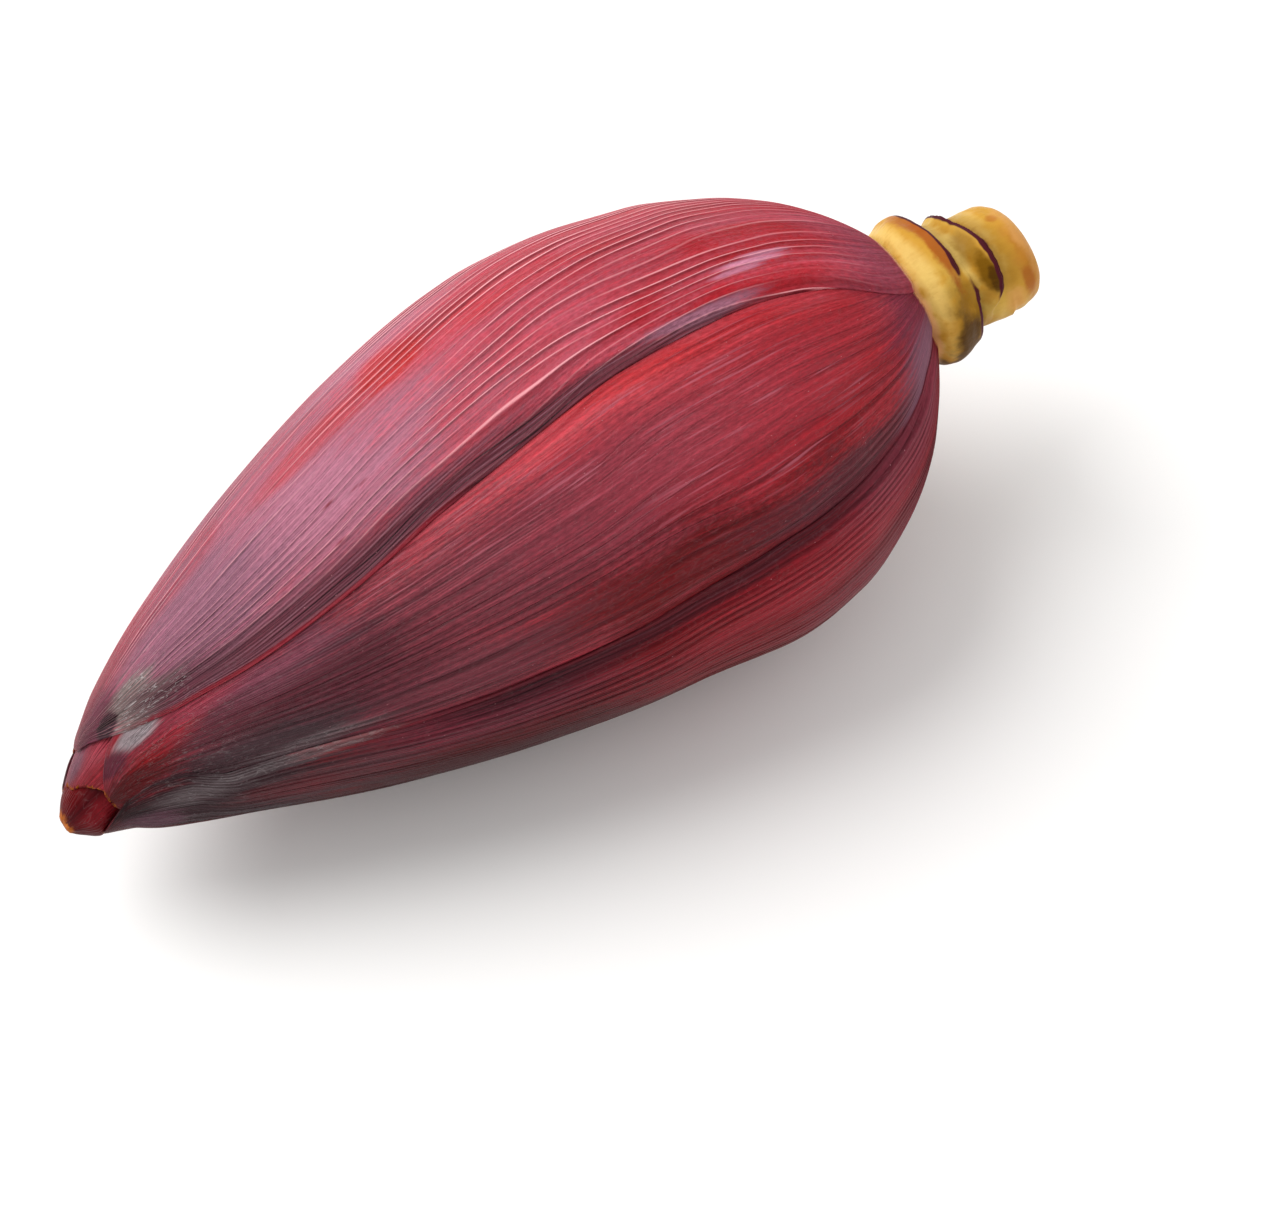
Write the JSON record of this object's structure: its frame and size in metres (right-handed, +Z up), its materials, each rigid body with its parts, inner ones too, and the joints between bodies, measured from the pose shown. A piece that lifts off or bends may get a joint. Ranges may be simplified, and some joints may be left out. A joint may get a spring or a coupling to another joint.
{
  "type": "banana blossom",
  "caption": "Banana blossom lying on its side: a closed teardrop bud of overlapping purple-red bracts on the cut stub of its ringed yellow stem.",
  "frame": {"origin": "on the surface that the blossom lies on, at the middle of the small flat of its belly that touches it", "axes": "+Z up, +X along the blossom towards the cut stem, -X towards the tip of the bud"},
  "size_m": [0.245, 0.1061, 0.1026],
  "materials": {
    "stem": "fleshy ochre stem with purple-brown bract scars, semi-matt",
    "top_bract": "mauve-red bract, finely ribbed, with a waxy bloom",
    "front_bract": "crimson bract, finely ribbed, satin",
    "lower_bract": "purple-brown bract, finely ribbed, satin",
    "inner_bract": "smooth deep red young bract with a torn orange tip"
  },
  "bodies": {
    "root": {"stem": "stem", "heart": "inner_bract", "back_inner_bract": "inner_bract", "upper_inner_bract": "inner_bract", "back_bract": "lower_bract", "front_bract": "front_bract", "bottom_bract": "lower_bract", "top_bract": "top_bract"}
  },
  "joints": []
}
